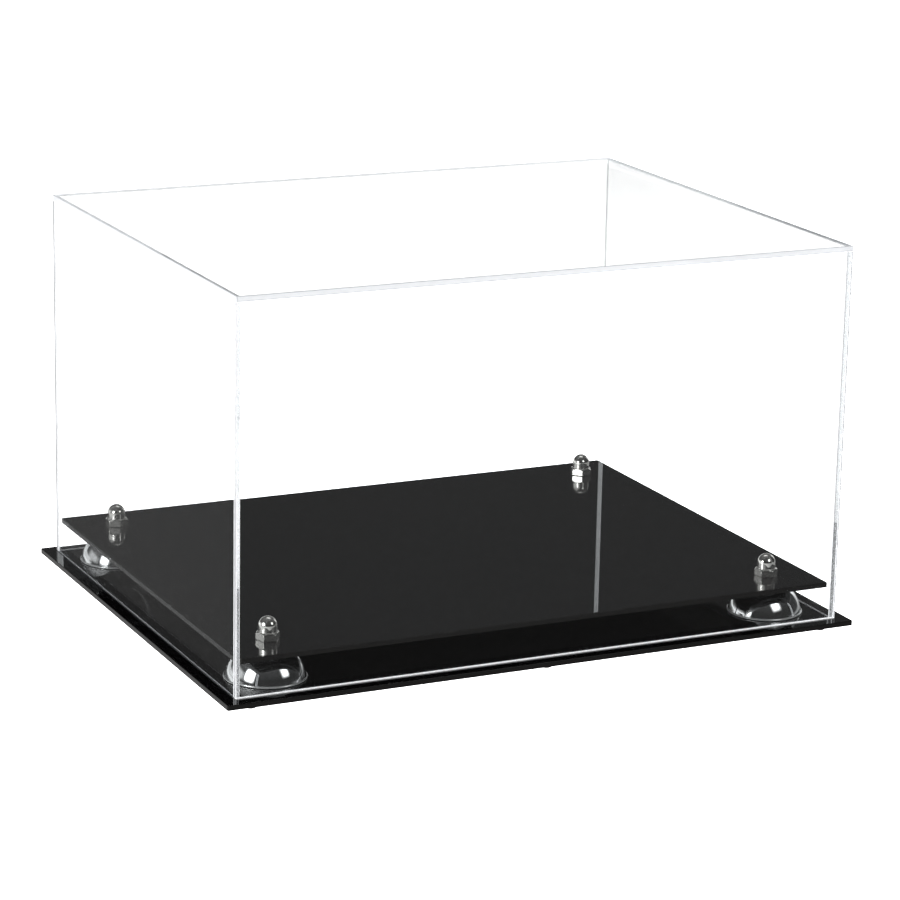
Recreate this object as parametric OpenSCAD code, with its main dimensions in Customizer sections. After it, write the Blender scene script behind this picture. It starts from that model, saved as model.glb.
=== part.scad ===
// Clear display case: a lift-off cover of five bonded clear sheets over a black base plate,
// with a black platform raised on four chrome dome risers, each clamped by a screw and a cap nut.
// Millimetres. The origin is under the middle of the case, on the plane that the feet stand on.
// X runs along the long front, Y from front to back, Z up.

/* [Clear cover] */
// Outside length of the cover along its front
cover_w = 387.35; // [320:0.05:440]
// Outside depth of the cover
cover_d = 304.8; // [260:0.1:360]
// Outside height of the cover
cover_h = 228.6; // [180:0.1:300]
// Thickness of the clear sheets
clear_t = 3.175; // [3:0.025:4]

/* [Black base plate and platform] */
// Thickness of the black sheets
black_t = 3.175; // [3:0.025:5]
// Width of the base plate that shows outside the cover on every side
base_margin = 7.95; // [5:0.05:20]
// Radius of the base plate's vertical corners
base_corner_r = 1.2; // [0.5:0.1:4]
// Gap between the platform's edge and the cover's inner faces
platform_gap = 1.2; // [0.5:0.1:4]
// Radius of the platform's vertical corners
platform_corner_r = 0.8; // [0.5:0.1:4]

/* [Dome risers] */
// Height of a riser, from the base plate to the underside of the platform
riser_h = 19.05; // [16:0.05:26]
// Diameter over the riser's rim
riser_d = 45.6; // [40:0.1:50]
// Height of the rolled rim at the riser's foot
rim_h = 1.3; // [0.8:0.1:2]
// Wall of the spun dome
dome_wall = 1.2; // [0.8:0.1:2]
// Diameter of the flat land on top of the riser
land_d = 12; // [11:0.5:18]
// Distance from the platform's edges to the middle of a riser
riser_inset = 27; // [25:0.5:45]

/* [Screws and cap nuts] */
// Outside diameter of the screw thread
thread_d = 7.9; // [6:0.1:8.2]
// Length of thread inside the cap nut
thread_reach = 9.5; // [6:0.5:9.5]
// Diameter of the screw's thin head
head_d = 15; // [12:0.5:18]
// Thickness of the screw's head
head_h = 2.2; // [1.6:0.1:2.8]
// Width across the flats of the head's hexagon socket
socket_af = 4.8; // [4:0.1:5]
// Depth of the head's hexagon socket
socket_depth = 2.6; // [1.6:0.1:4]
// Width across the flats of the cap nut
nut_af = 12.2; // [12:0.1:14]
// Height of the cap nut
nut_h = 13.5; // [13:0.1:17]
// Height of the cap nut's hexagon
hex_h = 4.8; // [4.5:0.1:6.5]
// Diameter of the cap nut's crown
crown_d = 11; // [10:0.1:11.5]

/* [Rubber feet] */
// Diameter of a foot where it is stuck to the base plate
foot_d = 8; // [6:0.5:12]
// Height of a foot
foot_h = 3; // [3:0.1:6]
// Distance from the base plate's ends to the middle of a corner foot
foot_inset_x = 17.5; // [12:0.5:22]
// Distance from the base plate's front and back edges to the middle of a foot
foot_inset_y = 10; // [8:0.5:14]

/* [Hidden] */
$fn = 96;

// Signs of the sides of the case
left = -1;
right = 1;
front = -1;
back = 1;
middle = 0;

// Levels, from the surface that the case stands on
base_z = foot_h;
deck_z = base_z + black_t;
platform_z = deck_z + riser_h;
display_z = platform_z + black_t;
cover_top_z = deck_z + cover_h - clear_t;

// Plan sizes
base_w = cover_w + 2 * base_margin;
base_d = cover_d + 2 * base_margin;
inner_w = cover_w - 2 * clear_t;
inner_d = cover_d - 2 * clear_t;
platform_w = inner_w - 2 * platform_gap;
platform_d = inner_d - 2 * platform_gap;
wall_h = cover_h - clear_t;

// Places of the screws and of the feet, on the right and at the back
screw_x = platform_w / 2 - riser_inset;
screw_y = platform_d / 2 - riser_inset;
foot_x = base_w / 2 - foot_inset_x;
foot_y = base_d / 2 - foot_inset_y;

// Dome: a sphere centred on the riser's axis, through the edge of the land and the top of the rim
rim_r = riser_d / 2;
rim_roll_r = rim_h / 2;
dome_foot_r = rim_r - rim_roll_r;
land_r = land_d / 2;
dome_rise = riser_h - rim_h;
dome_drop = (dome_foot_r * dome_foot_r - land_r * land_r - dome_rise * dome_rise) / (2 * dome_rise);
dome_centre_z = rim_h - dome_drop;
dome_r = sqrt(dome_foot_r * dome_foot_r + dome_drop * dome_drop);
dome_inner_r = dome_r - dome_wall;

// Screw: its thread runs from the head to the point inside the nut
thread_r = thread_d / 2;
screw_l = display_z + thread_reach - base_z;
point_h = 0.8;
point_r = thread_r - point_h;
socket_r = across_corners(socket_af) / 2;
hole_play = 0.25;
hole_r = thread_r + hole_play;

// Cap nut: a hexagon with a chamfered top and a washer face below, under a round crown
thread_play = 0.05;
nut_bore_r = thread_r + thread_play;
bore_spare = 1;
nut_bore_depth = thread_reach + bore_spare;
crown_r = crown_d / 2;
nut_corner_r = across_corners(nut_af) / 2;
chamfer_h = 1.1;
chamfer_top_r = 0.48 * nut_af;
washer_h = 0.3;
washer_r = 0.53 * nut_af;

// Foot
foot_taper = 0.4;
foot_tip_r = foot_d / 2 - foot_taper;

// How far a cutting shape passes through a face
cut = 1;

function across_corners(across_flats) = across_flats / cos(30);

clear_colour = [0.86, 0.93, 0.95, 0.35];
black_colour = [0.05, 0.05, 0.055];
chrome_colour = [0.82, 0.82, 0.84];
steel_colour = [0.62, 0.62, 0.64];
rubber_colour = [0.12, 0.10, 0.09];

// A sheet with rounded corners, centred on the origin and standing on z = 0
module sheet(w, d, t, r) {
    linear_extrude(t) {
        square([w - 2 * r, d], center = true);
        square([w, d - 2 * r], center = true);
        for (x = [left, right], y = [front, back])
            translate([x * (w / 2 - r), y * (d / 2 - r)])
                circle(r);
    }
}

// The four holes that the screws pass through
module screw_holes(z, t) {
    for (x = [left, right], y = [front, back])
        translate([x * screw_x, y * screw_y, z - cut])
            cylinder(h = t + 2 * cut, r = hole_r);
}

module base_plate() {
    color(black_colour)
        difference() {
            translate([0, 0, base_z])
                sheet(base_w, base_d, black_t, base_corner_r);
            screw_holes(base_z, black_t);
        }
}

module platform() {
    color(black_colour)
        difference() {
            translate([0, 0, platform_z])
                sheet(platform_w, platform_d, black_t, platform_corner_r);
            screw_holes(platform_z, black_t);
        }
}

// Half section of a riser: a spun dome with a flat land, on a rolled rim
module riser_section() {
    difference() {
        union() {
            intersection() {
                translate([0, dome_centre_z])
                    circle(dome_r);
                translate([0, rim_h])
                    square([rim_r, dome_rise]);
            }
            square([dome_foot_r, rim_h]);
            translate([dome_foot_r, rim_roll_r])
                circle(rim_roll_r);
        }
        intersection() {
            translate([0, dome_centre_z])
                circle(dome_inner_r);
            translate([0, -cut])
                square([rim_r, riser_h - dome_wall + cut]);
        }
        translate([0, -cut])
            square([hole_r, riser_h + 2 * cut]);
        translate([-2 * rim_r, -rim_r])
            square([2 * rim_r, 4 * rim_r]);
    }
}

module riser(x, y) {
    color(chrome_colour)
        translate([x * screw_x, y * screw_y, deck_z])
            rotate_extrude()
                riser_section();
}

// A screw under the base plate, up through riser and platform, into the cap nut
module screw(x, y) {
    color(steel_colour)
        translate([x * screw_x, y * screw_y, base_z])
            difference() {
                union() {
                    translate([0, 0, -head_h])
                        cylinder(h = head_h, r = head_d / 2);
                    cylinder(h = screw_l - point_h, r = thread_r);
                    translate([0, 0, screw_l - point_h])
                        cylinder(h = point_h, r1 = thread_r, r2 = point_r);
                }
                translate([0, 0, -head_h - cut])
                    cylinder(h = socket_depth + cut, r = socket_r, $fn = 6);
            }
}

// The hexagon of a cap nut, with its washer face and its chamfered top
module nut_hexagon() {
    intersection() {
        cylinder(h = hex_h, r = nut_corner_r, $fn = 6);
        union() {
            cylinder(h = washer_h, r = washer_r);
            translate([0, 0, washer_h])
                cylinder(h = hex_h - chamfer_h - washer_h, r = nut_corner_r + cut);
            translate([0, 0, hex_h - chamfer_h])
                cylinder(h = chamfer_h, r1 = nut_corner_r, r2 = chamfer_top_r);
        }
    }
}

module cap_nut(x, y) {
    color(chrome_colour)
        translate([x * screw_x, y * screw_y, display_z])
            difference() {
                union() {
                    nut_hexagon();
                    cylinder(h = nut_h - crown_r, r = crown_r);
                    translate([0, 0, nut_h - crown_r])
                        sphere(crown_r);
                }
                translate([0, 0, -cut])
                    cylinder(h = nut_bore_depth + cut, r = nut_bore_r);
            }
}

// A stick-on bumper, slightly narrower where it meets the table
module foot(x, y) {
    color(rubber_colour)
        translate([x * foot_x, y * foot_y, 0])
            cylinder(h = foot_h, r1 = foot_tip_r, r2 = foot_d / 2);
}

// The top sheet lies over the edges of the four walls
module cover_top() {
    color(clear_colour)
        translate([-cover_w / 2, -cover_d / 2, cover_top_z])
            cube([cover_w, cover_d, clear_t]);
}

// The front and back walls run the full length, over the ends of the side walls
module long_wall(side) {
    color(clear_colour)
        translate([-cover_w / 2, side * (cover_d - clear_t) / 2 - clear_t / 2, deck_z])
            cube([cover_w, clear_t, wall_h]);
}

module side_wall(side) {
    color(clear_colour)
        translate([side * (cover_w - clear_t) / 2 - clear_t / 2, -inner_d / 2, deck_z])
            cube([clear_t, inner_d, wall_h]);
}

base_plate();
platform();
riser(left, front);  // riser_front_left
riser(right, front);  // riser_front_right
riser(left, back);  // riser_back_left
riser(right, back);  // riser_back_right
screw(left, front);  // screw_front_left
screw(right, front);  // screw_front_right
screw(left, back);  // screw_back_left
screw(right, back);  // screw_back_right
cap_nut(left, front);  // cap_nut_front_left
cap_nut(right, front);  // cap_nut_front_right
cap_nut(left, back);  // cap_nut_back_left
cap_nut(right, back);  // cap_nut_back_right
foot(left, front);  // foot_front_left
foot(middle, front);  // foot_front_middle
foot(right, front);  // foot_front_right
foot(left, back);  // foot_back_left
foot(middle, back);  // foot_back_middle
foot(right, back);  // foot_back_right
cover_top();
long_wall(front);  // cover_front
long_wall(back);  // cover_back
side_wall(left);  // cover_left
side_wall(right);  // cover_right
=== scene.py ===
import math

import bmesh
import bpy
from mathutils import Matrix, Vector


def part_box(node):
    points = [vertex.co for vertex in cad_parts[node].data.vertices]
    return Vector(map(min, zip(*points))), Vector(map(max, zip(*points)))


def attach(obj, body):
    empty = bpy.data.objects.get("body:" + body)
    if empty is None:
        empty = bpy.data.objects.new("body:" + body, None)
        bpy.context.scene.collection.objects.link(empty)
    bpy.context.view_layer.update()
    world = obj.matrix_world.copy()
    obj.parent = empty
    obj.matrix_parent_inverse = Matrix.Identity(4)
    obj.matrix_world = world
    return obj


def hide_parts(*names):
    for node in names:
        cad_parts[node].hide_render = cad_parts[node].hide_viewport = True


# A clear display case: a bonded clear cover over a black base plate, and a black platform on
# four chrome dome risers with cap nuts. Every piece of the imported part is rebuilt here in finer
# detail, in metres, and stands for its CAD node.

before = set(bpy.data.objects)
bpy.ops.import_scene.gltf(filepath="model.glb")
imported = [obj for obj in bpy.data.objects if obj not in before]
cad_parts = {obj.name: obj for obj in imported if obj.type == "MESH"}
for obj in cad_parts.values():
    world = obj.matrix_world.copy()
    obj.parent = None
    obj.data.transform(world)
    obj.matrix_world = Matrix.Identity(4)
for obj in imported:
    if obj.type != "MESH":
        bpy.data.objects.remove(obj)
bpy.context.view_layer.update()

MM = 0.001
ALL_ROUND = 2 * math.pi
ROUNDING_REACH = 0.45

CORNERS = ("front_left", "front_right", "back_left", "back_right")
FOOT_PLACES = ("front_left", "front_middle", "front_right", "back_left", "back_middle", "back_right")
WALLS = ("front", "back", "left", "right")


# ---------------------------------------------------------------- outlines

def arc(centre_r, centre_z, radius, start_deg, end_deg, steps):
    """Points of an arc in a half section, as (distance from the axis, height)."""
    points = []
    for i in range(steps + 1):
        angle = math.radians(start_deg + (end_deg - start_deg) * i / steps)
        points.append((centre_r + radius * math.cos(angle), centre_z + radius * math.sin(angle)))
    return points


def soften(section, steps=3):
    """Rounds the corners of a half section. A point is (r, z), or (r, z, rounding) at a corner to
    round, and a rounding takes no more than ROUNDING_REACH of either side."""
    rounded = []
    for i, point in enumerate(section):
        here = Vector(point[:2])
        if len(point) == 2:
            rounded.append((here.x, here.y))
            continue
        ends = []
        for other in (section[i - 1], section[(i + 1) % len(section)]):
            way = Vector(other[:2]) - here
            ends.append(here + way.normalized() * min(point[2], way.length * ROUNDING_REACH))
        for k in range(steps + 1):
            t = k / steps
            p = ends[0] * (1 - t) ** 2 + here * 2 * t * (1 - t) + ends[1] * t * t
            rounded.append((p.x, p.y))
    return rounded


def circle(radius, count, centre=(0.0, 0.0)):
    """Points of a circle in plan."""
    turns = [ALL_ROUND * i / count for i in range(count)]
    return [(centre[0] + radius * math.cos(t), centre[1] + radius * math.sin(t)) for t in turns]


def rounded_rectangle(width, depth, radius, steps=8):
    """Points of a rectangle with rounded corners in plan, centred on the axis."""
    points = []
    for quarter in range(4):
        sx = 1 if quarter in (0, 3) else -1
        sy = 1 if quarter in (0, 1) else -1
        cx, cy = sx * (width / 2 - radius), sy * (depth / 2 - radius)
        for i in range(steps + 1):
            angle = math.radians(90 * quarter + 90 * i / steps)
            points.append((cx + radius * math.cos(angle), cy + radius * math.sin(angle)))
    return points


def rounded_hexagon(across_flats, corner, flat_steps, corner_steps):
    """Points of a hexagon with slightly rounded corners in plan, with a corner on +X."""
    points = []
    reach = (across_flats / 2 - corner) / math.cos(math.radians(30))
    for side in range(6):
        middle = 60 * side
        cx = reach * math.cos(math.radians(middle))
        cy = reach * math.sin(math.radians(middle))
        for i in range(corner_steps + 1):
            angle = math.radians(middle - 30 + 60 * i / corner_steps)
            points.append((cx + corner * math.cos(angle), cy + corner * math.sin(angle)))
        nx = reach * math.cos(math.radians(middle + 60))
        ny = reach * math.sin(math.radians(middle + 60))
        angle = math.radians(middle + 30)
        start = Vector(points[-1])
        end = Vector((nx + corner * math.cos(angle), ny + corner * math.sin(angle)))
        for i in range(1, flat_steps):
            p = start.lerp(end, i / flat_steps)
            points.append((p.x, p.y))
    return points


# ---------------------------------------------------------------- mesh building

def add_ring(bm, plan, z):
    """A closed ring of vertices over a plan outline."""
    return [bm.verts.new((x, y, z)) for x, y in plan]


def bridge(bm, lower, upper, material=0):
    """Quads between two rings with the same number of vertices."""
    count = len(lower)
    for i in range(count):
        j = (i + 1) % count
        face = bm.faces.new((lower[i], lower[j], upper[j], upper[i]))
        face.smooth = True
        face.material_index = material


def close_to_point(bm, ring, z, material=0):
    """A fan from a ring to one vertex on the axis."""
    x = sum(v.co.x for v in ring) / len(ring)
    y = sum(v.co.y for v in ring) / len(ring)
    tip = bm.verts.new((x, y, z))
    for i, vert in enumerate(ring):
        face = bm.faces.new((vert, ring[(i + 1) % len(ring)], tip))
        face.smooth = True
        face.material_index = material


def lathe(bm, section, count, closed=False):
    """Turns a half section round the Z axis. A closed section is a tube round the axis, as on a washer;
    an open one starts and ends on the axis."""
    inner = section if closed else section[1:-1]
    rings = [add_ring(bm, circle(r, count), z) for r, z in inner]
    for lower, upper in zip(rings, rings[1:]):
        bridge(bm, lower, upper)
    if closed:
        bridge(bm, rings[-1], rings[0])
    else:
        close_to_point(bm, rings[0], section[0][1])
        close_to_point(bm, rings[-1], section[-1][1])


def ring_edges(bm, ring):
    """The edges between the neighbours of a ring."""
    count = len(ring)
    return [bm.edges.get((ring[i], ring[(i + 1) % count])) for i in range(count)]


def bake_piece(name, bm, materials):
    """Turns a bmesh into an object with these materials, its normals outward and weighted by area."""
    bmesh.ops.recalc_face_normals(bm, faces=bm.faces)
    mesh = bpy.data.meshes.new(name)
    bm.to_mesh(mesh)
    bm.free()
    for material in materials:
        mesh.materials.append(material)
    piece = bpy.data.objects.new(name, mesh)
    bpy.context.scene.collection.objects.link(piece)
    weighting = piece.modifiers.new("area_weighted_normals", "WEIGHTED_NORMAL")
    weighting.keep_sharp = True
    return piece


def place(piece, x, y, z, turn_deg=0.0):
    """Moves a piece's vertices to where it stands, turned about its own axis."""
    turn = math.radians(turn_deg)
    c, s = math.cos(turn), math.sin(turn)
    for vert in piece.data.vertices:
        px, py, pz = vert.co
        vert.co = (x + c * px - s * py, y + s * px + c * py, z + pz)


def settle(piece, node, body):
    """The piece rides its body, and the CAD node that it stands for is hidden."""
    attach(piece, body)
    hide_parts(node)


def middle_of(node):
    """Centre of a CAD node's box in plan, with its lowest and highest level."""
    low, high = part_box(node)
    return (low.x + high.x) / 2, (low.y + high.y) / 2, low.z, high.z


# ---------------------------------------------------------------- material building

class Nodes:
    """A node tree, with short calls to add and link its nodes."""

    def __init__(self, tree):
        self.tree = tree

    def add(self, kind, values=None, **settings):
        """Adds a node. values are numbers or sockets for its inputs, by name or number."""
        node = self.tree.nodes.new("ShaderNode" + kind)
        for key, value in settings.items():
            setattr(node, key, value)
        for key, value in (values or {}).items():
            if isinstance(value, bpy.types.NodeSocket):
                self.tree.links.new(value, node.inputs[key])
            else:
                node.inputs[key].default_value = value
        return node

    def maths(self, operation, a, b=0.0):
        """The result of a Math node."""
        return self.add("Math", {0: a, 1: b}, operation=operation).outputs[0]

    def product(self, first, *others):
        """All of these values multiplied."""
        result = first
        for other in others:
            result = self.maths("MULTIPLY", result, other)
        return result

    def total(self, first, *others):
        """All of these values added up."""
        result = first
        for other in others:
            result = self.maths("ADD", result, other)
        return result

    def inverse(self, share):
        """1 minus a share."""
        return self.maths("SUBTRACT", 1.0, share)

    def between(self, value, low, high, out_low, out_high, **settings):
        """value's range low to high becomes out_low to out_high, and no further."""
        values = {0: value, 1: low, 2: high, 3: out_low, 4: out_high}
        return self.add("MapRange", values, **settings).outputs[0]


class Shader(Nodes):
    """A new material and its node tree."""

    def __init__(self, name):
        self.material = bpy.data.materials.new(name)
        self.material.use_nodes = True
        super().__init__(self.material.node_tree)
        self.tree.nodes.clear()
        self.output = self.add("OutputMaterial")

    def place_on_part(self):
        """Coordinates that stay with the part, in metres."""
        return self.add("TexCoord").outputs["Object"]

    def stretched(self, x, y, z):
        """Part coordinates scaled apart along each axis."""
        return self.add("Mapping", {"Vector": self.place_on_part(), "Scale": (x, y, z)}).outputs[0]

    def noise(self, vector, scale=1.0, detail=2.0, roughness=0.5):
        """A noise value from 0 to 1."""
        values = {"Vector": vector, "Scale": scale, "Detail": detail, "Roughness": roughness}
        return self.add("TexNoise", values).outputs[0]

    def colours(self, factor, first, second):
        """A blend of two colours."""
        values = {0: factor, 6: (*first, 1.0), 7: (*second, 1.0)}
        return self.add("Mix", values, data_type="RGBA").outputs[2]

    def relief(self, height, strength, distance):
        """A bump normal from a height."""
        values = {"Height": height, "Strength": strength, "Distance": distance}
        return self.add("Bump", values).outputs[0]

    def principled(self, **values):
        """A Principled shader. An underscore in a name stands for a space."""
        named = {key.replace("_", " "): value for key, value in values.items()}
        return self.add("BsdfPrincipled", named).outputs[0]

    def blend(self, factor, first, second):
        """A blend of two shaders."""
        return self.add("MixShader", {0: factor, 1: first, 2: second}).outputs[0]

    def finish(self, shader):
        """Shows this shader on the surface."""
        self.tree.links.new(shader, self.output.inputs["Surface"])
        return self.material


ACRYLIC_IOR = 1.49

# how grazing the view of a clear sheet is, 0 square on and 1 along it, where it begins to open and
# where it is all open
EDGE_ON_FROM, EDGE_ON_FULL = 0.8, 0.92

# the middle part of a noise value, where nearly all of it lies
NOISE_MIDDLE = (0.35, 0.65)
NOISE_WIDE = (0.3, 0.7)
PLATING_NOISE = (0.3, 0.75)

# least and most that the milky film covers
LEVEL_FILM = (0.8, 0.9)
UPRIGHT_FILM = (0.46, 0.66)
JOINT_FILM = (0.5, 0.85)
BACK_JOINT_FILM = (0.85, 0.97)
ARRIS_FILM = (0.78, 0.9)

# milkiness of a cemented joint where the solvent has run
CORNER_CLOUD, TOP_CLOUD = 0.3, 0.85

# film on a cut or cemented edge: (colour, strength of a painted glow, the film's emission, which stands
# in for the light that runs inside the sheet)
LEVEL_CUT_FILM_AND_PAINTED_GLOW = ((0.84, 0.86, 0.89), 0.48)
UPRIGHT_CUT_FILM_AND_PAINTED_GLOW = ((0.84, 0.86, 0.89), 0.16)
CEMENT_FILM_AND_PAINTED_GLOW = ((0.72, 0.74, 0.77), 0.3)
# film on the joints that face the back: a lighter copy of the cement film with more glow, painted light
BACK_CEMENT_FILM_PAINTED_LIGHTER = ((0.9, 0.91, 0.92), 0.85)
# dark film on the standing cut of the back and side walls: painted shade; the front wall's standing edge
# takes the bright wall arris film as a painted highlight
STANDING_CUT_FILM_IN_PAINTED_SHADE = ((0.3, 0.31, 0.33), 0.03)
# the top sheet's arris film is painted dark as shade, the walls' painted bright with more glow as a
# highlight
TOP_ARRIS_FILM_IN_PAINTED_SHADE = ((0.56, 0.57, 0.59), 0.34)
WALL_ARRIS_FILM_AS_PAINTED_HIGHLIGHT = ((0.92, 0.93, 0.95), 0.6)
FILM_ROUGHNESS = 0.3

# share of the film on the upright cut edges that shows from inside the sheet
UPRIGHT_SEEN_WITHIN = 0.3

# how fast the cutter lines and the bubbles change along X, Y and Z, per metre
LEVEL_GRAIN = (15.0, 15.0, 2500.0)
UPRIGHT_GRAIN = (2500.0, 2500.0, 15.0)
BUBBLE_GRAIN = (1100.0, 1100.0, 420.0)
BUBBLE_CORE, BUBBLE_RIM = 0.2, 0.42

# the two colours that each material wanders between
SHEET_TINTS = ((0.985, 0.993, 0.995), (0.995, 0.997, 0.998))
BLACK_TINTS = ((0.0025, 0.0024, 0.0026), (0.005, 0.0048, 0.005))
BLACK_CUT_TINTS = ((0.005, 0.0045, 0.004), (0.008, 0.0072, 0.0065))
RISER_TINTS = ((0.86, 0.87, 0.88), (0.78, 0.79, 0.80))
NUT_TINTS = ((0.88, 0.87, 0.84), (0.80, 0.79, 0.76))
STEEL_TINTS = ((0.55, 0.55, 0.57), (0.66, 0.63, 0.56))
RUBBER_TINTS = ((0.022, 0.016, 0.013), (0.06, 0.05, 0.045))

# how milky a riser's brushed lip is, and the height over which it fades into the bright plating
LIP_HAZE = 0.3
LIP_FADE = 0.1 * MM

# tint of clear sheet under film, and of one face of sheet where it is open
CUT_GLASS_TINT = (0.99, 0.99, 0.99, 1.0)
OPEN_SHEET_TINT = (0.97, 0.98, 0.98, 1.0)


def mirrored_ray(nodes, path):
    """1 for a ray that some polished surface has just thrown back."""
    return nodes.product(path.outputs["Is Glossy Ray"], path.outputs["Is Reflection Ray"])


def lets_lamps_through(shader, glass):
    """Clear sheet: glass for what is seen in it, and open to lamps and to what other pieces mirror.
    Seen almost edge on it is open too, as the white studio that it would mirror looks the same."""
    path = shader.add("LightPath")
    outside = shader.inverse(shader.add("NewGeometry").outputs["Backfacing"])
    passed = shader.maths("MINIMUM", path.outputs["Transparent Depth"], 1.0)
    open_side = shader.maths("MAXIMUM", outside, passed)
    mirrored = shader.product(mirrored_ray(shader, path), open_side)
    lamp_or_fill = shader.maths("MAXIMUM", path.outputs["Is Shadow Ray"], path.outputs["Is Diffuse Ray"])
    facing = shader.add("LayerWeight", {"Blend": 0.5}).outputs["Facing"]
    edge_on = shader.between(facing, EDGE_ON_FROM, EDGE_ON_FULL, 0.0, 1.0)
    through = shader.maths("MAXIMUM", shader.maths("MAXIMUM", mirrored, lamp_or_fill), edge_on)
    clear = shader.add("BsdfTransparent", {"Color": OPEN_SHEET_TINT})
    return shader.blend(through, glass, clear.outputs[0])


def clear_face_material():
    """Cast sheet: water clear, with a breath of tint that varies over the sheet."""
    s = Shader("clear_sheet")
    colour = s.colours(s.noise(s.place_on_part(), scale=9.0, detail=3.0), *SHEET_TINTS)
    glass = s.principled(Base_Color=colour, Roughness=0.0, IOR=ACRYLIC_IOR, Transmission_Weight=1.0)
    return s.finish(lets_lamps_through(s, glass))


def cut_glass(shader, film_share, film, seen_within=1.0):
    """Clear sheet under a milky film that glows a little: the glow is painted, standing in for the light
    that runs inside the sheet. seen_within is how much of the film shows from inside the sheet."""
    tint, glow = film
    film_colour = (*tint, 1.0)
    if seen_within < 1.0:
        within = shader.add("NewGeometry").outputs["Backfacing"]
        film_share = shader.product(film_share, shader.between(within, 0.0, 1.0, 1.0, seen_within))
    glass = shader.principled(Base_Color=CUT_GLASS_TINT, Roughness=0.0, IOR=ACRYLIC_IOR,
                              Transmission_Weight=1.0)
    # the film's emission is a painted glow, not a lamp
    milky_film_and_painted_glow = shader.principled(Base_Color=film_colour, Roughness=FILM_ROUGHNESS,
                             Emission_Color=film_colour, Emission_Strength=glow)
    return shader.blend(film_share, lets_lamps_through(shader, glass), milky_film_and_painted_glow)


def clear_edge_material(name, grain, shares, film, seen_within=1.0):
    """Polished saw cut with fine cutter lines. grain is how fast they change along X, Y and Z, per
    metre; shares are the least and the most that the film covers."""
    s = Shader(name)
    lines = s.noise(s.stretched(*grain))
    return s.finish(cut_glass(s, s.between(lines, *NOISE_MIDDLE, *shares), film, seen_within))


def clear_arris_material(name, film):
    """Scraped corner of a clear sheet, with small nicks: its film is brighter than its cut edge on the
    walls, as a painted highlight, and darker on the top sheet, as painted shade.
    """
    s = Shader(name)
    nicks = s.noise(s.place_on_part(), scale=420.0, detail=3.0, roughness=0.6)
    return s.finish(cut_glass(s, s.between(nicks, *NOISE_MIDDLE, *ARRIS_FILM), film))


def clear_joint_material(name, cloud, shares, film):
    """Cemented edge: cloud is how milky it is where the solvent has run, between chains of tiny
    bubbles; shares are the least and the most that the film covers."""
    s = Shader(name)
    cells = s.add("TexVoronoi", {"Vector": s.stretched(*BUBBLE_GRAIN), "Scale": 1.0})
    bubble = s.between(cells.outputs["Distance"], BUBBLE_CORE, BUBBLE_RIM, 1.0, cloud)
    runs = s.noise(s.place_on_part(), scale=70.0)
    return s.finish(cut_glass(s, s.product(bubble, s.between(runs, 0.4, 0.6, *shares)), film))


def black_face_material():
    """Black cast acrylic: a deep mirror with faint waviness, dulled a little by smudges and
    hairlines."""
    s = Shader("black_sheet")
    where = s.place_on_part()
    smudge = s.noise(where, scale=26.0, detail=5.0, roughness=0.6)
    hairlines = s.noise(s.stretched(40.0, 900.0, 1.0), detail=3.0, roughness=0.7)
    colour = s.colours(smudge, *BLACK_TINTS)
    waves = s.relief(s.noise(where, scale=30.0, detail=1.0), strength=0.3, distance=0.02 * MM)
    polished = s.principled(Base_Color=colour, Roughness=0.0, IOR=ACRYLIC_IOR, Normal=waves)
    dullness = s.between(smudge, 0.35, 0.75, 0.05, 0.12)
    dulled = s.principled(Base_Color=colour, Roughness=dullness, IOR=ACRYLIC_IOR, Normal=waves)
    smudged = s.between(smudge, 0.45, 0.75, 0.01, 0.06)
    scratched = s.between(hairlines, 0.62, 0.8, 0.0, 0.06)
    return s.finish(s.blend(s.total(smudged, scratched), polished, dulled))


def black_edge_material():
    """Sawn and scraped edge of the black sheet, a little browner and rougher than its face."""
    s = Shader("black_cut_edge")
    cuts = s.noise(s.stretched(1200.0, 1200.0, 60.0))
    colour = s.colours(s.noise(s.place_on_part(), scale=60.0, detail=3.0), *BLACK_CUT_TINTS)
    rough = s.between(cuts, *NOISE_WIDE, 0.12, 0.2)
    normal = s.relief(cuts, strength=0.1, distance=0.005 * MM)
    return s.finish(s.principled(Base_Color=colour, Roughness=rough, IOR=ACRYLIC_IOR,
                                 Specular_IOR_Level=0.3, Normal=normal))


def chrome_material(name, tints, roughness, turning_marks, haze, lip=None):
    """Bright plating: a mirror whose gloss varies a little, with faint turning marks round the axis.
    roughness is its least and its most, turning_marks how many there are per metre, haze how milky
    it is; lip is a level and a roughness: up to there the plating is brushed."""
    s = Shader(name)
    cloud = s.noise(s.place_on_part(), scale=240.0, detail=4.0, roughness=0.6)
    rings = s.noise(s.stretched(1.0, 1.0, turning_marks))
    rough = s.between(cloud, *PLATING_NOISE, *roughness)
    metal = s.between(cloud, *PLATING_NOISE, 1.0 - haze, 1.0 - haze / 2)
    if lip:
        lip_top, lip_roughness = lip
        level = s.add("SeparateXYZ", {0: s.place_on_part()}).outputs["Z"]
        brushed = s.between(level, lip_top, lip_top + LIP_FADE, 1.0, 0.0)
        rough = s.maths("MAXIMUM", rough, s.product(brushed, lip_roughness))
        metal = s.maths("SUBTRACT", metal, s.product(brushed, LIP_HAZE))
    return s.finish(s.principled(Base_Color=s.colours(cloud, *tints), Metallic=metal, Roughness=rough,
                                 Normal=s.relief(rings, strength=0.25, distance=0.004 * MM)))


def steel_material():
    """Zinc-plated screw steel, with a mottled, slightly yellow gloss."""
    s = Shader("zinc_steel")
    spots = s.noise(s.place_on_part(), scale=1500.0, detail=4.0, roughness=0.65)
    colour = s.colours(s.noise(s.place_on_part(), scale=180.0), *STEEL_TINTS)
    rough = s.between(spots, *NOISE_WIDE, 0.22, 0.42)
    normal = s.relief(spots, strength=0.3, distance=0.02 * MM)
    return s.finish(s.principled(Base_Color=colour, Metallic=1.0, Roughness=rough, Normal=normal))


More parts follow.
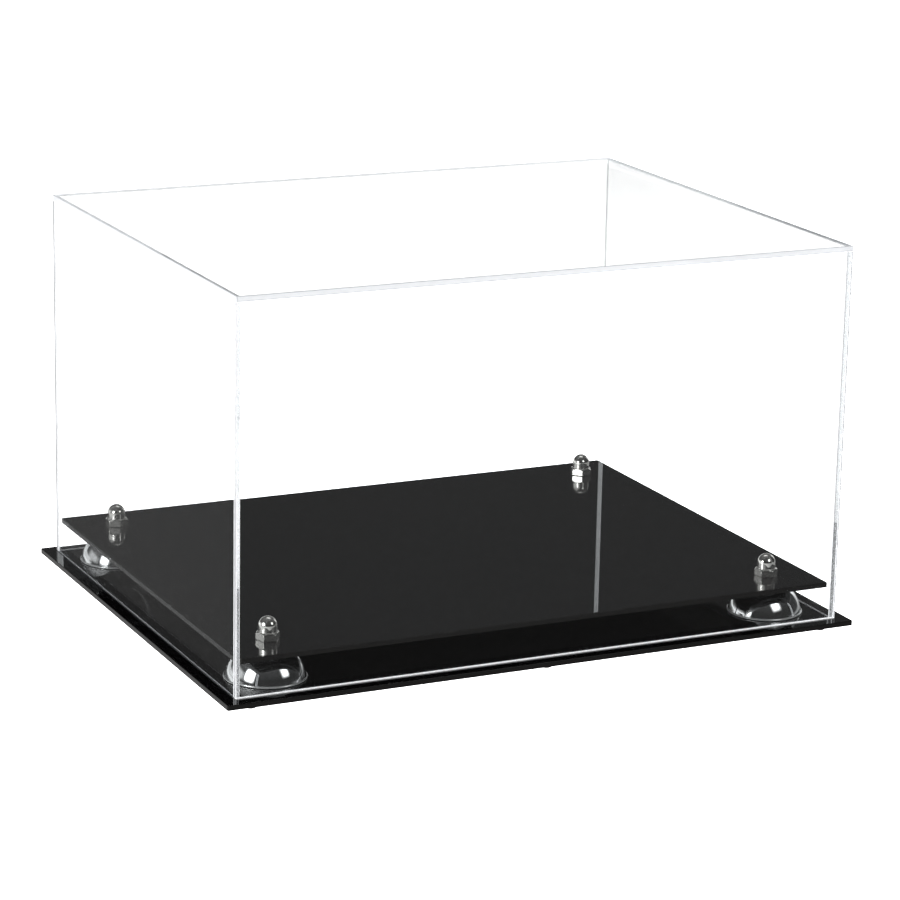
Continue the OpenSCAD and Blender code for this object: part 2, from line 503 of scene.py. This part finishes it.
def rubber_material():
    """Dark brown moulded rubber with a fine matt grain and a little dust."""
    s = Shader("foot_rubber")
    grain = s.noise(s.place_on_part(), scale=3500.0, detail=3.0, roughness=0.6)
    specks = s.noise(s.place_on_part(), scale=420.0, detail=4.0, roughness=0.7)
    dust = s.between(specks, 0.45, 0.75, 0.0, 1.0)
    rough = s.between(grain, *NOISE_WIDE, 0.55, 0.8)
    normal = s.relief(grain, strength=0.6, distance=0.08 * MM)
    return s.finish(s.principled(Base_Color=s.colours(dust, *RUBBER_TINTS), Roughness=rough,
                                 Normal=normal))


# ---------------------------------------------------------------- black plates

PLATE_ARRIS = 0.35 * MM

# how far the middle of a rounded arris lies in from either face
PLATE_ARRIS_MIDDLE = 0.29 * PLATE_ARRIS
LEAST_CORNER = 0.1 * MM
HOLE_SIDES = 48
HOLE_RADIUS = 4.2 * MM
BASE_CORNER = 1.2 * MM
PLATFORM_CORNER = 0.8 * MM
FACE, EDGE = 0, 1


def plate(name, node, corner, materials):
    """A black sheet with softened edges and the four holes that the screws pass through."""
    x, y, bottom, top = middle_of(node)
    low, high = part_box(node)
    width, depth = high.x - low.x, high.y - low.y
    centres = [middle_of("screw_" + place_name)[:2] for place_name in CORNERS]
    section = [(PLATE_ARRIS, bottom), (PLATE_ARRIS_MIDDLE, bottom + PLATE_ARRIS_MIDDLE),
               (0.0, bottom + PLATE_ARRIS), (0.0, top - PLATE_ARRIS),
               (PLATE_ARRIS_MIDDLE, top - PLATE_ARRIS_MIDDLE), (PLATE_ARRIS, top)]
    bm = bmesh.new()
    levels = []
    for inset, z in section:
        rounding = max(corner - inset, LEAST_CORNER)
        outline = rounded_rectangle(width - 2 * inset, depth - 2 * inset, rounding)
        rings = [add_ring(bm, [(x + px, y + py) for px, py in outline], z)]
        for centre in centres:
            rings.append(add_ring(bm, circle(HOLE_RADIUS + inset, HOLE_SIDES, centre), z))
        levels.append(rings)
    for lower, upper in zip(levels, levels[1:]):
        for ring_below, ring_above in zip(lower, upper):
            bridge(bm, ring_below, ring_above, EDGE)
    for rings in (levels[0], levels[-1]):
        edges = [edge for ring in rings for edge in ring_edges(bm, ring)]
        made = bmesh.ops.triangle_fill(bm, use_beauty=True, edges=edges)
        for item in made["geom"]:
            if isinstance(item, bmesh.types.BMFace):
                item.smooth = False
                item.material_index = FACE
    piece = bake_piece(name, bm, materials)
    settle(piece, node, "base")


# ---------------------------------------------------------------- dome risers

# radius of the roll round the foot, and where it runs, from just short of its top to its underside
RIM_ROLL = 0.65 * MM
ROLL_START_DEG, ROLL_END_DEG = 88, -90
LAND_RADIUS = 6.0 * MM
DOME_WALL = 1.2 * MM
RISER_HOLE = 4.2 * MM
EDGE_BREAK = 0.15 * MM
LAND_EDGE = 0.5 * MM
DOME_STEPS, RIM_STEPS, INNER_STEPS = 30, 12, 20
RISER_SIDES = 128
RIM_ROUGHNESS = 0.14


def dome_centre(foot_r, rim_top, land_r, height):
    """Level of the middle of a riser's dome above its foot, below 0 here, and the dome's radius."""
    rise = height - rim_top
    drop = (foot_r ** 2 - land_r ** 2 - rise ** 2) / (2 * rise)
    return rim_top - drop, math.hypot(foot_r, drop)


def riser_section(rim_r, height):
    """Half section of a spun dome on a rolled rim, open at the foot, with a flat land on top."""
    foot_r = rim_r - RIM_ROLL
    centre_z, dome_r = dome_centre(foot_r, 2 * RIM_ROLL, LAND_RADIUS, height)
    inner_r = dome_r - DOME_WALL
    top_deg = math.degrees(math.asin((height - centre_z) / dome_r))
    foot_deg = math.degrees(math.asin((2 * RIM_ROLL - centre_z) / dome_r))
    inner_foot_deg = math.degrees(math.asin(-centre_z / inner_r))
    inner_top_deg = math.degrees(math.asin((height - DOME_WALL - centre_z) / inner_r))
    section = [(RISER_HOLE, height, EDGE_BREAK)]
    section += [(LAND_RADIUS, height, LAND_EDGE)]
    section += arc(0.0, centre_z, dome_r, top_deg, foot_deg, DOME_STEPS)[1:]
    section += arc(foot_r, RIM_ROLL, RIM_ROLL, ROLL_START_DEG, ROLL_END_DEG, RIM_STEPS)
    section += arc(0.0, centre_z, inner_r, inner_foot_deg, inner_top_deg, INNER_STEPS)
    section += [(RISER_HOLE, height - DOME_WALL, EDGE_BREAK)]
    return soften(section)


def riser(place_name, materials):
    """A hollow chromed dome on a rolled rim."""
    node = "riser_" + place_name
    x, y, bottom, top = middle_of(node)
    low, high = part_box(node)
    bm = bmesh.new()
    lathe(bm, riser_section((high.x - low.x) / 2, top - bottom), RISER_SIDES, closed=True)
    piece = bake_piece("dome_" + node, bm, materials)
    place(piece, x, y, bottom)
    settle(piece, node, "base")


# ---------------------------------------------------------------- cap nuts

NUT_HEX_HEIGHT = 4.8 * MM
NUT_CHAMFER = 1.1 * MM
NUT_CORNER = 0.25 * MM
NUT_WASHER_HEIGHT = 0.3 * MM

# radius of the washer face and of the chamfer's inner edge, as a share of the width across the flats
WASHER_SHARE = 0.53
CHAMFER_SHARE = 0.48
WASHER_SET_BACK = 0.06 * MM
WASHER_EDGE = 0.08 * MM
HEX_FOOT_RISE, HEX_FOOT_EDGE = 0.04 * MM, 0.1 * MM
HEX_SHOULDER_EDGE, CHAMFER_EDGE = 0.12 * MM, 0.2 * MM
FLAT_STEPS, CORNER_STEPS, CROWN_STEPS = 12, 6, 18

# the crown's arc stops here and a fan closes it over the axis
CROWN_END_DEG = 84
CROWN_RADIUS = 5.5 * MM
CROWN_NECK = 0.3 * MM
NUT_BORE = 4.0 * MM
NUT_BORE_DEPTH = 10.5 * MM

# how far each nut is turned, in degrees, from where a corner points to the right
NUT_TURNS = {"front_left": 50.0, "front_right": 37.0, "back_left": 30.0, "back_right": 11.0}


def nut_section(side_r, across_flats, height):
    """Half section of the nut through a point of its hexagon, side_r from the axis."""
    corner_r = across_flats / 2 / math.cos(math.radians(30))
    chamfer_r = CHAMFER_SHARE * across_flats
    washer_r = min(WASHER_SHARE * across_flats, side_r - WASHER_SET_BACK)
    shoulder = NUT_HEX_HEIGHT - NUT_CHAMFER * (side_r - chamfer_r) / (corner_r - chamfer_r)
    section = [(0.0, NUT_BORE_DEPTH), (NUT_BORE, NUT_BORE_DEPTH), (NUT_BORE, 0.0, EDGE_BREAK)]
    section += [(washer_r, 0.0, WASHER_EDGE), (washer_r, NUT_WASHER_HEIGHT)]
    section += [(side_r, NUT_WASHER_HEIGHT + HEX_FOOT_RISE, HEX_FOOT_EDGE)]
    section += [(side_r, shoulder, HEX_SHOULDER_EDGE), (chamfer_r, NUT_HEX_HEIGHT, CHAMFER_EDGE)]
    section += [(CROWN_RADIUS, NUT_HEX_HEIGHT, CROWN_NECK)]
    section += arc(0.0, height - CROWN_RADIUS, CROWN_RADIUS, 0, CROWN_END_DEG, CROWN_STEPS)
    section += [(0.0, height)]
    return soften(section)


def cap_nut(place_name, materials):
    """A chamfered hexagon nut with a blind bore under a round crown."""
    node = "cap_nut_" + place_name
    x, y, bottom, top = middle_of(node)
    low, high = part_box(node)
    across_flats = high.y - low.y
    plan = rounded_hexagon(across_flats, NUT_CORNER, FLAT_STEPS, CORNER_STEPS)
    sections = [nut_section(math.hypot(px, py), across_flats, top - bottom) for px, py in plan]
    turns = [math.atan2(py, px) for px, py in plan]
    bm = bmesh.new()
    rings = []
    for level in range(1, len(sections[0]) - 1):
        ring = []
        for section, turn in zip(sections, turns):
            r, z = section[level]
            ring.append(bm.verts.new((r * math.cos(turn), r * math.sin(turn), z)))
        rings.append(ring)
    for lower, upper in zip(rings, rings[1:]):
        bridge(bm, lower, upper)
    close_to_point(bm, rings[0], sections[0][0][1])
    close_to_point(bm, rings[-1], sections[0][-1][1])
    piece = bake_piece("crowned_" + node, bm, materials)
    place(piece, x, y, bottom, NUT_TURNS[place_name])
    settle(piece, node, "base")


# ---------------------------------------------------------------- screws

THREAD_PITCH = 1.25 * MM
THREAD_DEPTH = 0.55 * MM
THREAD_RADIUS = 3.95 * MM
THREAD_STEPS = 8
THREAD_SIDES = 32

# height of a tooth, 1 at its top, is TOOTH_PEAK less TOOTH_SLOPE times the distance from its middle in
# pitches, cut to the range from 0 to 1
TOOTH_PEAK, TOOTH_SLOPE = 1.35, 2.97
SCREW_HEAD = 2.2 * MM
SCREW_POINT = 0.8 * MM
HEAD_FACE_SET_BACK, HEAD_DOME, HEAD_RIM = 0.9 * MM, 0.8 * MM, 0.3 * MM
HEAD_NECK = 0.25 * MM
THREAD_START = 0.5 * MM
SOCKET_FLATS = 4.8 * MM
SOCKET_DEPTH = 2.6 * MM
SOCKET_MOUTH = 0.2 * MM
SOCKET_FLOOR_SHARE, SOCKET_FLOOR_DROP, SOCKET_TIP_DROP = 0.4, 0.35 * MM, 0.6 * MM


def thread_radius(level, turn, start, end):
    """Distance from the axis to the thread's surface at a height and an angle."""
    phase = (level / THREAD_PITCH - turn / ALL_ROUND) % 1.0
    tooth = min(1.0, max(0.0, TOOTH_PEAK - TOOTH_SLOPE * abs(phase - 0.5)))
    run_in = min(1.0, max(0.0, (level - start) / THREAD_PITCH))
    radius = THREAD_RADIUS - THREAD_DEPTH * (1.0 - tooth) * run_in
    return min(radius, THREAD_RADIUS - SCREW_POINT + max(0.0, end - level))


def screw(place_name, materials):
    """A thin-headed screw with a hexagon socket and a rolled thread."""
    node = "screw_" + place_name
    x, y, bottom, top = middle_of(node)
    low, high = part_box(node)
    head_r = (high.x - low.x) / 2
    length = top - bottom
    bm = bmesh.new()
    socket_r = SOCKET_FLATS / 2 / math.cos(math.radians(30))
    turns = [ALL_ROUND * i / THREAD_SIDES for i in range(THREAD_SIDES)]
    wall = []
    for turn in turns:
        off_flat = (math.degrees(turn) + 30) % 60 - 30
        wall.append(min(socket_r, SOCKET_FLATS / 2 / math.cos(math.radians(abs(off_flat) - 30))))
    levels = [([r * SOCKET_FLOOR_SHARE for r in wall], SOCKET_DEPTH + SOCKET_FLOOR_DROP),
              (wall, SOCKET_DEPTH), (wall, SOCKET_MOUTH), ([r + SOCKET_MOUTH for r in wall], 0.0)]
    edge = soften([(head_r - HEAD_FACE_SET_BACK, 0.0), (head_r, 0.0, HEAD_DOME),
                   (head_r, SCREW_HEAD, HEAD_RIM), (THREAD_RADIUS + HEAD_NECK, SCREW_HEAD),
                   (THREAD_RADIUS, SCREW_HEAD + HEAD_NECK)])
    levels += [([r] * THREAD_SIDES, z) for r, z in edge]
    start = SCREW_HEAD + THREAD_START
    steps = int((length - start) / THREAD_PITCH * THREAD_STEPS)
    for i in range(steps + 1):
        z = start + (length - start) * i / steps
        levels.append(([thread_radius(z, turn, start, length) for turn in turns], z))
    rings = []
    for radii, z in levels:
        plan = [(r * math.cos(t), r * math.sin(t)) for r, t in zip(radii, turns)]
        rings.append(add_ring(bm, plan, z))
    for lower, upper in zip(rings, rings[1:]):
        bridge(bm, lower, upper)
    close_to_point(bm, rings[0], SOCKET_DEPTH + SOCKET_TIP_DROP)
    close_to_point(bm, rings[-1], length)
    piece = bake_piece("threaded_" + node, bm, materials)
    place(piece, x, y, bottom)
    settle(piece, node, "base")


# ---------------------------------------------------------------- rubber feet

# how deep the sole is hollow, and where the hollow ends and the sole begins, as shares of its radius
SOLE_HOLLOW = 0.12 * MM
HOLLOW_SHARE, SOLE_SHARE = 0.55, 0.66
HOLLOW_EDGE, SOLE_EDGE = 0.3 * MM, 0.2 * MM
FOOT_TAPER = 0.4 * MM
FOOT_SHOULDER = 0.9 * MM
ADHESIVE_BAND, ADHESIVE_SET_BACK = 0.3 * MM, 0.1 * MM
BAND_EDGE, ADHESIVE_EDGE = 0.15 * MM, 0.1 * MM
FOOT_CORNER_STEPS = 5
FOOT_SIDES = 48


def foot(place_name, materials):
    """A stick-on bumper with rounded shoulders, a slightly hollow sole and a thin adhesive face."""
    node = "foot_" + place_name
    x, y, bottom, top = middle_of(node)
    low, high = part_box(node)
    wide = (high.x - low.x) / 2
    height = top - bottom
    tip = wide - FOOT_TAPER
    section = [(0.0, SOLE_HOLLOW), (tip * HOLLOW_SHARE, SOLE_HOLLOW, HOLLOW_EDGE),
               (tip * SOLE_SHARE, 0.0, SOLE_EDGE), (tip, 0.0, FOOT_SHOULDER),
               (wide, height - ADHESIVE_BAND, BAND_EDGE),
               (wide - ADHESIVE_SET_BACK, height, ADHESIVE_EDGE), (0.0, height)]
    bm = bmesh.new()
    lathe(bm, soften(section, FOOT_CORNER_STEPS), FOOT_SIDES)
    piece = bake_piece("bumper_" + node, bm, materials)
    place(piece, x, y, bottom)
    settle(piece, node, "base")


# ---------------------------------------------------------------- clear cover

COVER_ARRIS = 0.45 * MM
JOINT_OVERLAP = 0.03 * MM

# places of a clear sheet's finishes in its list of materials, after FACE and EDGE; the top sheet has
# no cemented edge of its own, so its list ends at ARRIS
JOINT, ARRIS, TOP_JOINT, BACK_JOINT, STANDING = 2, 3, 4, 5, 6

# how much of a normal lies along an axis when its face counts as square to that axis
SQUARE = 0.99


def clear_sheet(name, node, joints, materials):
    """A clear sheet with softened edges. joints are the axes, with 1 or -1 for the end, of the edges
    that are cemented to a neighbour: there the sheet reaches a hair into it."""
    low, high = (Vector(corner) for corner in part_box(node))
    for axis, end in joints:
        if end > 0:
            high[axis] += JOINT_OVERLAP
        else:
            low[axis] -= JOINT_OVERLAP
    size = high - low
    thin = min(range(3), key=lambda axis: size[axis])
    bm = bmesh.new()
    bmesh.ops.create_cube(bm, size=1.0)
    for vert in bm.verts:
        vert.co = Vector([(low[i] + high[i]) / 2 + vert.co[i] * size[i] for i in range(3)])
    bmesh.ops.bevel(bm, geom=list(bm.edges), offset=COVER_ARRIS, segments=2, profile=0.5,
                    affect="EDGES")
    for face in bm.faces:
        face.smooth = True
        if thin != 2 and face.calc_center_median().z < low.z + COVER_ARRIS:
            face.material_index = STANDING
        elif max(abs(part) for part in face.normal) < SQUARE:
            face.material_index = ARRIS
        elif abs(face.normal[thin]) > SQUARE:
            face.material_index = FACE
        elif any(face.normal[axis] * end > SQUARE for axis, end in joints):
            if abs(face.normal.z) > SQUARE:
                face.material_index = TOP_JOINT
            else:
                face.material_index = BACK_JOINT if face.normal.y > SQUARE else JOINT
        else:
            face.material_index = EDGE
    piece = bake_piece(name, bm, materials)
    settle(piece, node, "cover")


# ---------------------------------------------------------------- stage, lamps, camera

WHITE = (1.0, 1.0, 1.0, 1.0)
FLOOR_HALF = 9.0

# strength at which the floor and the room burn out to white, through several sheets too
WHITE_OUT = 2.85

# brightness of the room in a clear sheet, mirrored once or guided on inside the sheets
ONCE_MIRRORED = 0.08
GUIDED_IN_EDGES = 0.85

# how many faces light crosses on its way through one sheet
CROSSINGS_OF_ONE_SHEET = 2.0

# brightness of the room as plating and sheets mirror it
MIRRORED_LOW = 0.05
MIRRORED_TOP = 0.14
MIRRORED_IN_SHEETS = 0.035
FRONT_SHADE = 0.45
TABLE_LEFT = 0.75
TABLE_RIGHT = 0.3
CROSSED_LEFT = 1.8
CROSSED_REST = 0.16
HORIZON_GLOW = 0.9
FILL_LIGHT = 0.6

# name: (azimuth, elevation, distance, width, height, brightness), in degrees and metres, azimuth 0 in
# front of the case and turning to the right
SOFTBOXES = {
    "front_right_box": (23.0, 29.0, 0.80, 0.44, 0.46, 2.6),
    "left_box": (-74.0, 16.0, 0.85, 0.48, 0.48, 7.0),
    "left_wall": (-112.0, 11.0, 1.10, 1.10, 0.42, 0.65),
    "right_strip": (112.0, 16.0, 1.40, 0.40, 0.80, 1.5),
    "top_back_box": (150.0, 70.0, 1.30, 1.00, 0.80, 1.0),
}
SOFTBOX_AIM = Vector((0.0, 0.0, 0.04))

# share of a softbox's width, at each rim, over which it fades out
SOFT_EDGE = 0.36


def above_zero_to_one(nodes, value):
    """A count cut to the range from 0 to 1."""
    return nodes.maths("MINIMUM", nodes.maths("MAXIMUM", value, 0.0), 1.0)


def mirrored_again(nodes, path):
    """1 for a ray that has been mirrored twice or more."""
    return above_zero_to_one(nodes, nodes.maths("SUBTRACT", path.outputs["Glossy Depth"], 1.0))


def seen_straight(nodes, path):
    """1 for the camera's own ray, also through clear sheets, as long as nothing has mirrored it."""
    clean = nodes.inverse(nodes.maths("MINIMUM", path.outputs["Glossy Depth"], 1.0))
    through = nodes.product(path.outputs["Is Transmission Ray"], clean)
    return nodes.maths("MAXIMUM", path.outputs["Is Camera Ray"], through)


def room_in_sheets(nodes, path):
    """Brightness of the room in a clear sheet: dim where the first sheet mirrors it, bright where
    light has run on inside the sheets."""
    mirrors = nodes.maths("SUBTRACT", path.outputs["Glossy Depth"], 1.0)
    crossings = nodes.maths("SUBTRACT", path.outputs["Transmission Depth"], CROSSINGS_OF_ONE_SHEET)
    guided = above_zero_to_one(nodes, nodes.maths("MAXIMUM", mirrors, crossings))
    return nodes.total(ONCE_MIRRORED, nodes.product(guided, GUIDED_IN_EDGES - ONCE_MIRRORED))


def room_in_plating(nodes, path):
    """Brightness of the room that a polished surface mirrors: dim above, with a lit table below and
    a glow behind that only the plating shows, and a bright left side once it is mirrored again."""
    # the way that the mirrored ray takes: X to the right, Y to the back and Z up, each from -1 to 1
    way = nodes.add("SeparateXYZ", {0: nodes.add("TexCoord").outputs["Generated"]}).outputs
    in_plating = nodes.inverse(path.outputs["Is Singular Ray"])
    height = nodes.between(way["Z"], 0.3, 0.85, MIRRORED_LOW, MIRRORED_TOP)
    above = nodes.product(height, nodes.between(way["Y"], -0.4, 0.3, FRONT_SHADE, 1.0))
    table = nodes.between(way["X"], -0.9, 0.6, TABLE_LEFT, TABLE_RIGHT)
    below = nodes.between(way["Z"], -0.06, 0.02, 1.0, 0.0)
    side = nodes.between(way["X"], -0.9, -0.45, CROSSED_LEFT, CROSSED_REST)
    under_glow_top = nodes.between(way["Z"], 0.1, 0.17, HORIZON_GLOW, 0.0)
    over_horizon = nodes.between(way["Z"], -0.1, -0.04, 0.0, 1.0)
    behind = nodes.between(way["Y"], 0.3, 0.6, 0.0, 1.0)
    return nodes.total(above,
                       nodes.product(in_plating, below, table),
                       nodes.product(mirrored_again(nodes, path), side),
                       nodes.product(under_glow_top, over_horizon, behind, in_plating),
                       nodes.product(path.outputs["Is Singular Ray"], MIRRORED_IN_SHEETS))


def floor_material():
    """Pale floor, burnt out to white for the camera as on a lit studio sweep."""
    s = Shader("studio_floor")
    path = s.add("LightPath")
    shown = s.add("Emission", {"Color": WHITE, "Strength": WHITE_OUT})
    dim = s.add("Emission", {"Color": WHITE, "Strength": room_in_sheets(s, path)})
    return s.finish(s.blend(seen_straight(s, path), dim.outputs[0], shown.outputs[0]))


def build_floor():
    """A wide floor under the feet. Polished surfaces don't mirror it, but what the world has there."""
    bm = bmesh.new()
    corners = ((-1, -1), (1, -1), (1, 1), (-1, 1))
    bm.faces.new([bm.verts.new((x * FLOOR_HALF, y * FLOOR_HALF, 0.0)) for x, y in corners])
    mesh = bpy.data.meshes.new("studio_floor")
    bm.to_mesh(mesh)
    bm.free()
    mesh.materials.append(floor_material())
    floor = bpy.data.objects.new("studio_floor", mesh)
    bpy.context.scene.collection.objects.link(floor)
    floor.visible_glossy = False


def build_world():
    """White all round for the eye, and a dim room for what the polished surfaces mirror."""
    world = bpy.data.worlds.new("studio")
    bpy.context.scene.world = world
    world.use_nodes = True
    world.node_tree.nodes.clear()
    world.cycles.sampling_method = "NONE"
    nodes = Nodes(world.node_tree)
    path = nodes.add("LightPath")
    room = nodes.total(nodes.product(mirrored_ray(nodes, path), room_in_plating(nodes, path)),
                       nodes.product(path.outputs["Is Transmission Ray"], room_in_sheets(nodes, path)),
                       nodes.product(path.outputs["Is Diffuse Ray"], FILL_LIGHT))
    shown = nodes.add("Mix", {0: seen_straight(nodes, path), 2: room, 3: WHITE_OUT}, data_type="FLOAT")
    background = nodes.add("Background", {"Color": WHITE, "Strength": shown.outputs[0]})
    nodes.add("OutputWorld", {"Surface": background.outputs[0]})


def fade_to_edges(data):
    """A softbox is brightest in the middle and fades out over its rim. Polished sheets mirror it only
    in what the plating mirrors, so that no glare lies on them."""
    data.use_nodes = True
    nodes = Nodes(data.node_tree)
    spot = nodes.add("SeparateXYZ", {0: nodes.add("NewGeometry").outputs["Parametric"]})
    faded = []
    for axis in ("X", "Y"):
        off_middle = nodes.maths("ABSOLUTE", nodes.maths("SUBTRACT", spot.outputs[axis], 0.5))
        faded.append(nodes.between(off_middle, 0.5 - SOFT_EDGE, 0.5, 1.0, 0.0,
                                   interpolation_type="SMOOTHSTEP"))
    path = nodes.add("LightPath")
    glare = nodes.product(path.outputs["Is Singular Ray"], nodes.inverse(mirrored_again(nodes, path)))
    strength = nodes.product(*faded, nodes.inverse(glare))
    emission = next(node for node in data.node_tree.nodes if node.type == "EMISSION")
    data.node_tree.links.new(strength, emission.inputs["Strength"])


def build_softboxes():
    """Soft lamps round the case, which the camera doesn't see and clear sheets don't refract."""
    for name, (azimuth, elevation, distance, width, height, brightness) in SOFTBOXES.items():
        a, e = math.radians(azimuth), math.radians(elevation)
        outward = Vector((math.sin(a) * math.cos(e), -math.cos(a) * math.cos(e), math.sin(e)))
        data = bpy.data.lights.new(name, "AREA")
        data.shape = "RECTANGLE"
        data.size, data.size_y = width, height
        data.energy = brightness * math.pi * width * height
        fade_to_edges(data)
        lamp = bpy.data.objects.new(name, data)
        bpy.context.scene.collection.objects.link(lamp)
        lamp.location = SOFTBOX_AIM + outward * distance
        lamp.rotation_mode = "QUATERNION"
        lamp.rotation_quaternion = (-outward).to_track_quat("-Z", "Y")
        lamp.visible_camera = False
        lamp.visible_transmission = False


# angles in degrees, the lens in millimetres, and in metres the distance and how far to the right of and
# above the cover's middle the camera aims
CAMERA_AZIMUTH = -25.623
CAMERA_ELEVATION = 15.243
CAMERA_ROLL = 1.15
CAMERA_LENS = 133.725
CAMERA_DISTANCE = 2.03365
AIM_RIGHT = 0.006523
AIM_UP = -0.027973


def build_camera():
    """The camera stands at the photograph's angle and distance, level but for a slight roll."""
    a, e, roll = (math.radians(d) for d in (CAMERA_AZIMUTH, CAMERA_ELEVATION, CAMERA_ROLL))
    ahead = Vector((-math.sin(a) * math.cos(e), math.cos(a) * math.cos(e), -math.sin(e)))
    side = Vector((math.cos(a), math.sin(a), 0.0))
    above = side.cross(ahead)
    right = math.cos(roll) * side + math.sin(roll) * above
    up = math.cos(roll) * above - math.sin(roll) * side
    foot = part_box("cover_front")[0].z
    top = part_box("cover_top")[1].z
    target = Vector((0.0, 0.0, (foot + top) / 2))
    data = bpy.data.cameras.new("camera")
    data.lens = CAMERA_LENS
    camera = bpy.data.objects.new("camera", data)
    bpy.context.scene.collection.objects.link(camera)
    camera.location = target + right * AIM_RIGHT + up * AIM_UP - ahead * CAMERA_DISTANCE
    camera.rotation_mode = "QUATERNION"
    turn = [(right[i], up[i], -ahead[i]) for i in range(3)]
    camera.rotation_quaternion = Matrix(turn).to_quaternion()
    bpy.context.scene.camera = camera


def set_look():
    """True colours, and enough bounces for light that travels inside the clear sheets."""
    scene = bpy.context.scene
    scene.view_settings.view_transform = "Standard"
    scene.cycles.max_bounces = 40
    scene.cycles.glossy_bounces = 36
    scene.cycles.transmission_bounces = 24
    scene.cycles.transparent_max_bounces = 24


# ---------------------------------------------------------------- making it all

build_camera()
build_world()
build_floor()
build_softboxes()
set_look()

black = [black_face_material(), black_edge_material()]
plate("base_plate_sheet", "base_plate", BASE_CORNER, black)
plate("platform_sheet", "platform", PLATFORM_CORNER, black)

lip_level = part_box("riser_front_left")[0].z + 2 * RIM_ROLL
riser_chrome = [chrome_material("riser_chrome", RISER_TINTS, roughness=(0.03, 0.06),
                                turning_marks=2500.0, haze=0.03, lip=(lip_level, RIM_ROUGHNESS))]
nut_chrome = [chrome_material("nut_chrome", NUT_TINTS, roughness=(0.03, 0.07), turning_marks=4000.0,
                              haze=0.04)]
steel = [steel_material()]
for corner_name in CORNERS:
    riser(corner_name, riser_chrome)
    cap_nut(corner_name, nut_chrome)
    screw(corner_name, steel)

rubber = [rubber_material()]
for foot_name in FOOT_PLACES:
    foot(foot_name, rubber)

clear_face = clear_face_material()
corner_joint = clear_joint_material("clear_cement_joint", CORNER_CLOUD, JOINT_FILM, CEMENT_FILM_AND_PAINTED_GLOW)
back_joint = clear_joint_material("clear_cement_back_joint", TOP_CLOUD, BACK_JOINT_FILM,
                                  BACK_CEMENT_FILM_PAINTED_LIGHTER)
top_joint = clear_joint_material("clear_cement_top_joint", TOP_CLOUD, JOINT_FILM, CEMENT_FILM_AND_PAINTED_GLOW)
level_cut = clear_edge_material("clear_cut_edge_level", LEVEL_GRAIN, LEVEL_FILM, LEVEL_CUT_FILM_AND_PAINTED_GLOW)
upright_cut = clear_edge_material("clear_cut_edge_upright", UPRIGHT_GRAIN, UPRIGHT_FILM,
                                  UPRIGHT_CUT_FILM_AND_PAINTED_GLOW, UPRIGHT_SEEN_WITHIN)
standing_cut_in_painted_shade = clear_edge_material("clear_cut_edge_standing_in_painted_shade", LEVEL_GRAIN, LEVEL_FILM,
                                   STANDING_CUT_FILM_IN_PAINTED_SHADE)
top_arris = clear_arris_material("clear_top_arris", TOP_ARRIS_FILM_IN_PAINTED_SHADE)
wall_arris = clear_arris_material("clear_wall_arris", WALL_ARRIS_FILM_AS_PAINTED_HIGHLIGHT)

clear_sheet("clear_top_sheet", "cover_top", (), [clear_face, level_cut, corner_joint, top_arris])
for wall in WALLS:
    cemented = ((2, 1),) if wall in ("front", "back") else ((2, 1), (1, -1), (1, 1))
    # the front wall's standing edge is painted bright as a highlight, the other walls' painted dark as
    # shade
    standing = wall_arris if wall == "front" else standing_cut_in_painted_shade
    seam = back_joint if wall == "back" else top_joint
    finishes = [clear_face, upright_cut, corner_joint, wall_arris, seam, back_joint, standing]
    clear_sheet("clear_" + wall + "_wall", "cover_" + wall, cemented, finishes)
